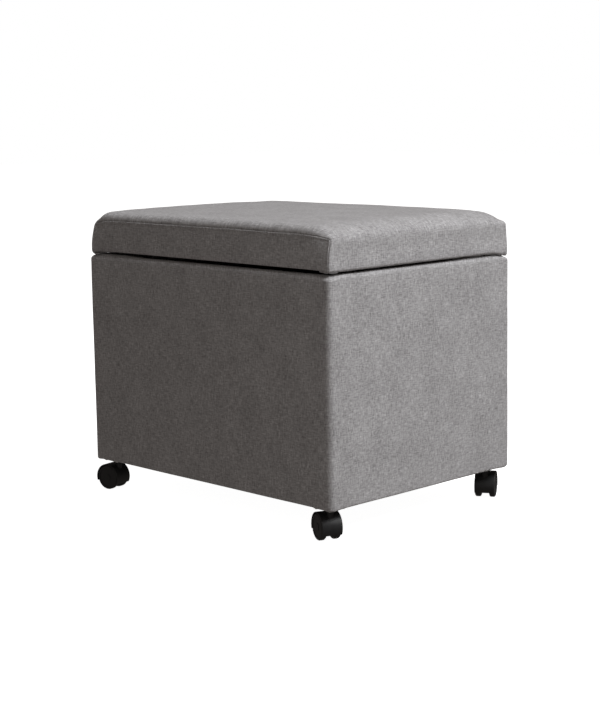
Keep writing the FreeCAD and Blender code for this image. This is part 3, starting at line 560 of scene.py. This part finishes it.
def make_case_lining(material):
    """One sheet folded into the box: four walls and a floor, slightly loose between its staples."""
    half_x, half_y = LINING_HIGH.x - 0.4 * MM, LINING_HIGH.y - 0.4 * MM
    top, floor = LINING_HIGH.z, LINING_LOW.z + 0.9 * MM
    corner = LINING_FOLD
    stations = [(0.0, top - (top - floor - corner) * step / 34) for step in range(35)]
    stations += [(corner * (1 - math.cos(angle)), floor + corner * (1 - math.sin(angle)))
                 for angle in quarter(4)[1:]]
    flat_run = half_y - corner
    stations += [(corner + flat_run * step / 30, floor) for step in range(1, 30)]
    rows, weave = [], []
    for inset, height in stations:
        radius = max(0.5 * MM, corner - inset * 0.1)
        row = []
        for x, y, normal_x, normal_y, near_corner in perimeter(
                half_x - inset, half_y - min(inset, half_y - 1.5 * MM), min(radius, (half_y - inset) * 0.8)):
            place = Vector((x, y, height))
            loose = smooth_step((top - height) / (40 * MM)) * (1 - 0.5 * near_corner)
            crease = 0.5 + 0.5 * ripple(place, 0.09, 11)
            crease += 0.35 * max(0.0, ripple((x * 0.4, y * 0.4, height * 1.6), 0.05, 13))
            off_wall = WALL_SLACK * loose * crease if inset < corner else 0.0
            off_floor = FLOOR_SLACK * crease * smooth_step(inset / (30 * MM)) if inset > 0 else 0.0
            row.append((x - normal_x * off_wall, y - normal_y * off_wall, height + off_floor))
        rows.append(row)
        weave.append([(x, y) for x, y, _ in row])
    rows.reverse()
    weave.reverse()
    lining = grid_object("case_lining_cloth", rows, weave, closed=True, capped=True)
    thicken(lining, LINING_THICKNESS)
    finish_piece(lining, "case", "lining_fabric", material, "case_lining")


def make_stapled_sheet(name, node, body, slot, material, sag):
    """A thin flat sheet stapled round its edge, a little slack in its middle."""
    low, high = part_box(node)
    size = high - low
    count_x, count_y = round(size.x / SHEET_STEP), round(size.y / SHEET_STEP)
    rows, weave = [], []
    for down in range(count_y + 1):
        row = []
        for step in range(count_x + 1):
            x = low.x + size.x * step / count_x
            y = low.y + size.y * down / count_y
            from_edge = min(high.x - abs(x), high.y - abs(y))
            slack = smooth_step(from_edge / (70 * MM))
            pull = 0.6 + 0.4 * ripple((x, y, 0), 0.10, 17) + 0.25 * ripple((x * 2.2, y, 0), 0.06, 19)
            row.append((x, y, high.z - 0.1 * MM - sag * slack * pull))
        rows.append(row)
        weave.append([(x, y) for x, y, _ in row])
    cloth = grid_object(name, rows, weave)
    thicken(cloth, LINING_THICKNESS)
    finish_piece(cloth, body, slot, material, node)


# ---------------------------------------------------------------- lid cushion

# The top: its rolls over the ends and the long sides, its level and its crown.
END_ROLL_X = 40 * MM
END_ROLL_Z = 24 * MM
LONG_ROLL = 17 * MM
REAR_ROLL = 29 * MM
REAR_FALL = 1.6 * MM
ROLL_STEPS = 16
CUSHION_STEP = 6 * MM
PLATEAU = 460.6 * MM
CROWN = 1.0 * MM
CORNER_FALL_LENGTH = 110 * MM
CORNER_FALL_DEPTH = 90 * MM

# The seam between the top cover and a border.
SEAM_INSET = 2.6 * MM
SEAM_HEIGHT = 447.5 * MM
SEAM_CORNER = 441.5 * MM
SEAM_ROUND = 3 * MM
TUCK = 0.4 * MM
CORNER_X = LID_X - SEAM_INSET
END_CORNER_RADIUS = 3.2 * MM

# Ripples beside the seam, in millimetres: height, distance from the stitches, width.
BEAD = (0.85, 1.3, 0.85)
STITCH_TUCK = (-0.55, 0.0, 0.5)
DITCH = (-0.3, 3.4, 1.0)

# The lower edge and its hem. Where the hem folds down, it rests on the case's raised rim.
HEM = 20 * MM
HEM_REST = CASE_HIGH.z + RIM_RAISE
FOOT = 4.2 * MM
FRONT_LIFT = 0.8 * MM
FRONT_HANG_ZONE = 26 * MM
REAR_HANG_ZONE = 42 * MM
END_HEM_DROP = 3.0 * MM
BORDER_ROLL = 3.4 * MM
BORDER_SWELL = 1.1 * MM
FOLD = 1.2 * MM
LEFT_FRONT_FOLD = 3.6 * MM
FOLD_LENGTH = 75 * MM

# How the corners lean in towards the seam, and the right end stands out.
LEAN_FOOT = 400 * MM
LEAN_ZONE = 42 * MM
LEAN_LEFT = 1.6 * MM
LEAN_RIGHT = 0.2 * MM
LEAN_FRONT = 5.5 * MM
LEAN_REAR = 2.0 * MM
RIGHT_BULGE = 1.8 * MM
BULGE_LENGTH = 120 * MM
REAR_RIGHT_DROP = 0.8 * MM

# The pressure simulation, and how much of it the covers take.
FORM_SHRINK = 2.0 * MM
FORM_VOXEL = 6 * MM
HELD_HEIGHT = 14 * MM
LAST_FRAME = 20
LONGEST_SHIFT = 6 * MM
SWELL_SHARE = 0.2
WRINKLE = 0.5 * MM
FOAM_INSET = 6 * MM
FOAM_SINK = 5 * MM


def seam_height(x):
    """Height of the seam along a long side: lower towards both ends, and rounded off at them."""
    from_end = CORNER_X - abs(x)
    fall = (1 - min(1.0, from_end / (65 * MM))) ** 2
    height = SEAM_HEIGHT - (SEAM_HEIGHT - SEAM_CORNER) * fall + 0.5 * MM * ripple((x, 0, 0), 0.08, 23)
    short = max(0.0, SEAM_ROUND - from_end)
    return height - SEAM_ROUND + math.sqrt(SEAM_ROUND ** 2 - min(short, SEAM_ROUND) ** 2)


def seam_line():
    """The seam from the flat of the lid out over the right end's corner and down it, as close points."""
    count = 60
    flat_edge = LID_X - END_ROLL_X
    line = [flat_edge + (CORNER_X - SEAM_ROUND - flat_edge) * step / count for step in range(count)]
    line += [CORNER_X - SEAM_ROUND + SEAM_ROUND * math.sin(angle) for angle in quarter(count)]
    return [(x, seam_height(x)) for x in line]


def along(line, distance):
    """The point at a distance along a line of points, going straight down past its end."""
    for first, second in zip(line, line[1:]):
        length = math.dist(first, second)
        if distance <= length:
            share = distance / length
            return (first[0] + (second[0] - first[0]) * share, first[1] + (second[1] - first[1]) * share)
        distance -= length
    return (line[-1][0], line[-1][1] - distance)


def corner_fall(side_x, side_y):
    """How much lower the cushion's top is over one of its corners."""
    if side_y > 0:
        return 2.8 * MM if side_x > 0 else 1.6 * MM
    return 2.2 * MM if side_x > 0 else 0.2 * MM


def hang(side_x, side_y):
    """How far the lid's lower edge hangs down at one of its corners."""
    if side_y > 0:
        return 4.4 * MM
    return -0.3 * MM if side_x > 0 else 0.4 * MM


def end_path():
    """Matching points down the right end: (middle section x, z), (edge x, z), share turned down."""
    stations = []
    flat_edge = LID_X - END_ROLL_X
    base_z = PLATEAU - END_ROLL_Z
    line = seam_line()
    seam_length = sum(math.dist(first, second) for first, second in zip(line, line[1:]))
    seam_run = max(0.0, seam_length + line[-1][1] - base_z)
    for step in range(ROLL_STEPS + 1):
        share = step / ROLL_STEPS
        angle = math.pi / 2 * share
        middle = (flat_edge + END_ROLL_X * math.sin(angle), base_z + END_ROLL_Z * math.cos(angle))
        stations.append((middle, along(line, seam_run * share), smooth_step((share - 0.5) / 0.5)))
    last_edge = stations[-1][1][1]
    bottom = LID_LOW.z
    side_steps = 9
    for step in range(1, side_steps + 1):
        share = step / side_steps
        middle_z = base_z + (bottom + FOOT - base_z) * share
        edge_z = last_edge + (bottom + FOOT - last_edge) * share
        stations.append(((LID_X, middle_z), (CORNER_X, edge_z), 1.0))
    for angle in quarter(6)[1:]:
        inset = FOOT * (1 - math.cos(angle))
        z = bottom + FOOT * (1 - math.sin(angle))
        stations.append(((LID_X - inset, z), (CORNER_X - inset * 0.6, z), 1.0))
    for share in (0.4, 1.0):
        inset = FOOT + (HEM - FOOT) * share
        z = bottom + 1.6 * MM * share
        stations.append(((LID_X - inset, z), (LID_X - inset, z), 1.0))
    return stations


def depth_steps():
    """Distances from a long side, close together at the seam and wider towards the middle."""
    near = [LONG_ROLL * (1 - math.cos(angle)) for angle in quarter(ROLL_STEPS)][:-1]
    middle = LID_Y - LONG_ROLL
    count = round(2 * middle / CUSHION_STEP)
    inner = [LONG_ROLL + 2 * middle * step / count for step in range(count + 1)]
    return near + inner + [2 * LID_Y - value for value in reversed(near)]


def top_cover_rows():
    """The waterfall panel: up the left end, over the cushion and down the right end."""
    end = end_path()
    flat_edge = LID_X - END_ROLL_X
    count = round(2 * flat_edge / CUSHION_STEP)
    level = [flat_edge - 2 * flat_edge * step / count for step in range(1, count)]
    path = [(middle, edge, turned, 1) for middle, edge, turned in reversed(end)]
    path += [((x, PLATEAU), (x, seam_height(x)), 0.0, 0) for x in level]
    path += [((-middle[0], middle[1]), (-edge[0], edge[1]), turned, -1) for middle, edge, turned in end]
    rows, weave = [], []
    travelled = 0.0
    previous = None
    for middle, edge, turned, side in path:
        if previous:
            travelled += math.dist(previous, middle)
        previous = middle
        row, threads = [], []
        foot = smooth_step((LID_LOW.z + 8 * MM - middle[1]) / (8 * MM)) if side else 0.0
        hem = smooth_step((LID_X - abs(middle[0]) - FOOT) / (6 * MM)) * foot
        fallen = smooth_step(1 - (LID_X - abs(middle[0])) / CORNER_FALL_LENGTH) * (1 - turned)
        under = side and LID_X - abs(middle[0]) > FOOT + 1 * MM and middle[1] < LID_LOW.z + 3 * MM
        for depth in depth_steps():
            near = min(depth, 2 * LID_Y - depth)
            share = min(1.0, near / (LONG_ROLL if depth < LID_Y else REAR_ROLL))
            over = math.sqrt(1 - (1 - share) ** 2)
            round_corner = math.sqrt(1 - (1 - min(1.0, near / END_CORNER_RADIUS)) ** 2)
            across = round_corner + 0.3 * smooth_step(near / (70 * MM))
            rise = over + (across - over) * turned
            y = -LID_Y + depth
            x = edge[0] + (middle[0] - edge[0]) * rise
            z = edge[1] + (middle[1] - edge[1]) * rise
            z += CROWN * over * (1 - (y / LID_Y) ** 2) * max(0.0, 1 - (middle[0] / LID_X) ** 4)
            z -= REAR_FALL * smooth_step(y / LID_Y) * over * (1 - turned)
            zone = FRONT_HANG_ZONE if y < 0 else REAR_HANG_ZONE
            z -= foot * hang(side, y) * smooth_step(1 - near / zone)
            if side * y > 0:
                z -= END_HEM_DROP * hem * smooth_step((120 * MM - near) / (60 * MM))
            z -= corner_fall(middle[0], y) * fallen * smooth_step(1 - near / CORNER_FALL_DEPTH) * over
            if under:
                z = max(z, HEM_REST)
            if near == 0:
                y -= math.copysign(TUCK, y)
            row.append((x, y, z))
            threads.append((y, travelled))
        rows.append(row)
        weave.append(threads)
    return rows, weave


def seam_bead(x, z):
    """How far the border stands out beside its seam: a tuck at the stitches, a bead, and a faint ditch."""
    aside = CORNER_X - abs(x)
    below = max(0.0, seam_height(x) - z)
    if aside < SEAM_ROUND:
        level = SEAM_CORNER - SEAM_ROUND
        if z > level:
            below = SEAM_ROUND - math.hypot(SEAM_ROUND - aside, z - level)
        else:
            below = aside
    distance = max(0.0, min(aside, below)) / MM
    heights = [height * math.exp(-((distance - place) / width) ** 2)
               for height, place, width in (BEAD, STITCH_TUCK, DITCH)]
    return sum(heights) * MM


def border_rows(side):
    """The sewn border of one long side: hem, lower roll, face, and the edge that meets the seam."""
    foot_z = BORDER_LOW.z + FRONT_LIFT if side < 0 else REAR_BORDER_LOW.z
    from_end = [0, 0.5, 1.0, 1.5, 2.1, 3, 4, 5.5, 7.5, 10, 13, 17, 22, 28]
    ends = [CORNER_X - value * MM for value in from_end]
    count = round(2 * ends[-1] / CUSHION_STEP)
    columns = [-x for x in ends] + [-ends[-1] + 2 * ends[-1] * step / count for step in range(1, count)]
    columns += list(reversed(ends))
    roll = BORDER_ROLL
    section = [(HEM * share, 0.0, 0) for share in (1.0, 0.5, 0.4, 0.3)]
    section += [(roll * (1 - math.sin(angle)), roll * (1 - math.cos(angle)), 0) for angle in quarter(6)]
    below_seam = [30, 24, 18, 13, 9, 6.5, 4.6, 3.4, 2.7, 2.0, 1.4, 0.8, 0.3, 0]
    face = SEAM_HEIGHT - foot_z - roll
    section += [(0.0, roll, 0.12)] + [(0.0, roll, 1 - value * MM / face) for value in below_seam]
    rows, weave = [], []
    travelled = 0.0
    previous = None
    for inset, height, share in section:
        place = (inset, height + share * face)
        if previous:
            travelled += math.dist(previous, place)
        previous = place
        row, threads = [], []
        for x in columns:
            zone = 20 * MM if side < 0 else 34 * MM
            near_end = smooth_step(1 - (CORNER_X - abs(x)) / zone)
            left_front = side < 0 and x < 0
            tucked = smooth_step((inset - (4 * MM if left_front else roll * 0.6)) / (5 * MM))
            folded = smooth_step(1 - (CORNER_X - abs(x)) / FOLD_LENGTH) * tucked
            fold = LEFT_FRONT_FOLD if left_front else FOLD
            low = foot_z - (foot_z - LID_LOW.z + hang(x, side)) * near_end - fold * folded
            z = low + height + share * (seam_height(x) - low - height)
            if inset > roll:
                z = max(z, HEM_REST)
            middle = smooth_step((CORNER_X - abs(x)) / (30 * MM))
            full = BORDER_SWELL * math.sin(math.pi * min(1.0, share * 0.96)) * (0.35 + 0.65 * middle)
            bead = seam_bead(x, z) if inset == 0 else 0.0
            row.append((x, side * (LID_Y - inset + full + bead), z))
            threads.append((x, travelled))
        rows.append(row)
        weave.append(threads)
    return rows, weave


def simulated_swell():
    """Inflate the closed cushion form as cloth and return how its skin moves, as a lookup."""
    rows, _ = top_cover_rows()
    mesh = bpy.data.meshes.new("cushion_form")
    form = bmesh.new()
    grids = []
    for row in rows:
        line = []
        for x, y, z in row:
            line.append(form.verts.new((
                x * (1 - FORM_SHRINK / LID_X),
                y * (1 - FORM_SHRINK / LID_Y),
                max(LID_LOW.z + 2 * MM, z - FORM_SHRINK),
            )))
        grids.append(line)
    for first, second in zip(grids, grids[1:]):
        for step in range(len(first) - 1):
            form.faces.new((first[step], first[step + 1], second[step + 1], second[step]))
    bmesh.ops.holes_fill(form, edges=[edge for edge in form.edges if edge.is_boundary], sides=0)
    bmesh.ops.triangulate(form, faces=form.faces[:])
    bmesh.ops.recalc_face_normals(form, faces=form.faces[:])
    form.to_mesh(mesh)
    form.free()
    cushion = bpy.data.objects.new("cushion_form", mesh)
    bpy.context.scene.collection.objects.link(cushion)
    cushion.data.remesh_voxel_size = FORM_VOXEL
    bpy.context.view_layer.objects.active = cushion
    cushion.select_set(True)
    bpy.ops.object.voxel_remesh()
    start = [vertex.co.copy() for vertex in cushion.data.vertices]
    held = cushion.vertex_groups.new(name="held")
    held.add([i for i, co in enumerate(start) if co.z < LID_LOW.z + HELD_HEIGHT], 1.0, "REPLACE")
    cloth = cushion.modifiers.new("cloth", "CLOTH")
    settings = cloth.settings
    settings.quality = 6
    settings.mass = 0.25
    settings.tension_stiffness = 18
    settings.compression_stiffness = 18
    settings.shear_stiffness = 6
    settings.bending_stiffness = 1.2
    settings.use_pressure = True
    settings.uniform_pressure_force = 4
    settings.vertex_group_mass = "held"
    settings.effector_weights.gravity = 0
    cloth.point_cache.frame_start = 1
    cloth.point_cache.frame_end = LAST_FRAME
    scene = bpy.context.scene
    for number in range(1, LAST_FRAME + 1):
        scene.frame_set(number)
    moved = cushion.evaluated_get(bpy.context.evaluated_depsgraph_get()).data
    shifts = []
    for vertex, before in zip(moved.vertices, start):
        shift = vertex.co - before
        if shift.length > LONGEST_SHIFT:
            shift = shift.normalized() * LONGEST_SHIFT
        shifts.append(shift)
    scene.frame_set(1)
    tree = kdtree.KDTree(len(start))
    for index, co in enumerate(start):
        tree.insert(co, index)
    tree.balance()
    bpy.data.objects.remove(cushion)

    def swell(point):
        total, weight_sum = Vector(), 0.0
        for _, index, distance in tree.find_n(point, 6):
            weight = 1 / (distance + 2 * MM) ** 2
            total += shifts[index] * weight
            weight_sum += weight
        return total / weight_sum

    return swell


def lean(point):
    """The lid's four corners lean in towards the seam, where the covers are pulled together."""
    share = min(1.0, max(0.0, (point.z - LEAN_FOOT) / (SEAM_CORNER - LEAN_FOOT))) ** 2.5
    share *= smooth_step(1 - (LID_X - abs(point.x)) / LEAN_ZONE)
    share *= smooth_step(1 - (LID_Y - abs(point.y)) / LEAN_ZONE)
    bulge = RIGHT_BULGE * smooth_step((point.x - LID_X + BULGE_LENGTH) / BULGE_LENGTH)
    return Vector((
        point.x + (LEAN_LEFT if point.x < 0 else -LEAN_RIGHT) * share + bulge,
        point.y + (LEAN_FRONT if point.y < 0 else -LEAN_REAR) * share,
        point.z - (REAR_RIGHT_DROP * share if point.x > 0 and point.y > 0 else 0.0),
    ))


def dress(piece, swell):
    """Move a cover's points with the inflated cushion, and add soft wrinkles along its normal."""
    mesh = piece.data
    normals = [vertex.normal.copy() for vertex in mesh.vertices]
    for vertex, normal in zip(mesh.vertices, normals):
        co = vertex.co.copy()
        free = smooth_step((co.z - LID_LOW.z - 4 * MM) / (14 * MM))
        move = swell(co) * SWELL_SHARE * free
        move += normal * WRINKLE * free * (0.6 * ripple(co, 0.09, 2) + 0.4 * ripple(co, 0.03, 5))
        vertex.co = lean(co + move)
    mesh.update()


def make_lid_covers(material):
    """The waterfall top cover and the two long borders, over one inflated cushion."""
    swell = simulated_swell()
    top = grid_object("lid_top_fabric", *top_cover_rows())
    front = grid_object("lid_front_border_fabric", *border_rows(-1))
    rear = grid_object("lid_rear_border_fabric", *border_rows(1))
    for piece in (top, front, rear):
        dress(piece, swell)
        thicken(piece, FABRIC)
    finish_piece(top, "lid", "upholstery_fabric", material, "lid_top_cover")
    finish_piece(front, "lid", "upholstery_fabric", material, "lid_front_border")
    finish_piece(rear, "lid", "upholstery_fabric", material, "lid_rear_border")


def make_foam(material):
    """The cushion's foam, a little inside its cover."""
    rows = []
    for row in top_cover_rows()[0]:
        line = []
        for place in row:
            x, y, z = lean(Vector(place))
            line.append((
                x * (1 - FOAM_INSET / LID_X),
                y * (1 - FOAM_INSET / LID_Y),
                max(FOAM_LOW.z, z - FOAM_SINK),
            ))
        rows.append(line)
    foam = grid_object("lid_foam_core", rows, [[(x, y) for x, y, _ in row] for row in rows])
    form = bmesh.new()
    form.from_mesh(foam.data)
    bmesh.ops.holes_fill(form, edges=[edge for edge in form.edges if edge.is_boundary], sides=0)
    bmesh.ops.recalc_face_normals(form, faces=form.faces[:])
    form.to_mesh(foam.data)
    form.free()
    finish_piece(foam, "lid", "foam", material, "lid_foam")


# ---------------------------------------------------------------- build

make_camera()
make_light()
make_floor()

linen = linen_material()
nonwoven = nonwoven_material("black_nonwoven", (0.018, 0.018, 0.019), (0.06, 0.06, 0.062), 2.2 * MM)
NYLON_BLACK = (0.0080, 0.0083, 0.0092)
hood_nylon = nylon_material("hood_nylon", NYLON_BLACK, 0.52)
wheel_nylon = nylon_material("wheel_nylon", NYLON_BLACK, 0.55)
zinc = zinc_material("zinc_plate", (0.62, 0.62, 0.60), 0.38, (900, 60, 900))
bright_zinc = zinc_material("bright_zinc", (0.72, 0.72, 0.71), 0.28, (300, 300, 900))
board = board_material()
wadding = wadding_material("wadding", (0.74, 0.74, 0.72), (0.90, 0.90, 0.88), 6 * MM)
foam_material = wadding_material("cushion_foam", (0.72, 0.68, 0.55), (0.86, 0.83, 0.72), 2 * MM)
rubber = nylon_material("bumper_rubber", (0.02, 0.02, 0.02), 0.7)

slot_materials = {
    "carcass_board": board,
    "wadding": wadding,
    "foam": foam_material,
    "upholstery_fabric": linen,
    "lining_fabric": nonwoven,
    "dust_cover_fabric": nonwoven,
    "zinc_screws": bright_zinc,
    "bumper_rubber": rubber,
    "hinge_steel": zinc,
    "stay_steel": zinc,
    "rivet_steel": bright_zinc,
    "caster_plate_steel": zinc,
    "axle_steel": bright_zinc,
    "hood_nylon": hood_nylon,
    "wheel_nylon": wheel_nylon,
}
node_slots = {entry["node"]: entry["material_slot"] for entry in frame["record"]["subparts"]}
for node, piece in frame["nodes"].items():
    for slot in piece.material_slots:
        slot.material = slot_materials[node_slots[node]]

make_case_cover(linen, wadding)
make_case_lining(nonwoven)
make_stapled_sheet(
    "base_dust_cloth", "dust_cover", "case", "dust_cover_fabric", nonwoven, 1.2 * MM,
)
make_stapled_sheet(
    "lid_lining_cloth", "lid_lining", "lid", "lining_fabric", nonwoven, 1.0 * MM,
)
make_lid_covers(linen)
make_foam(foam_material)
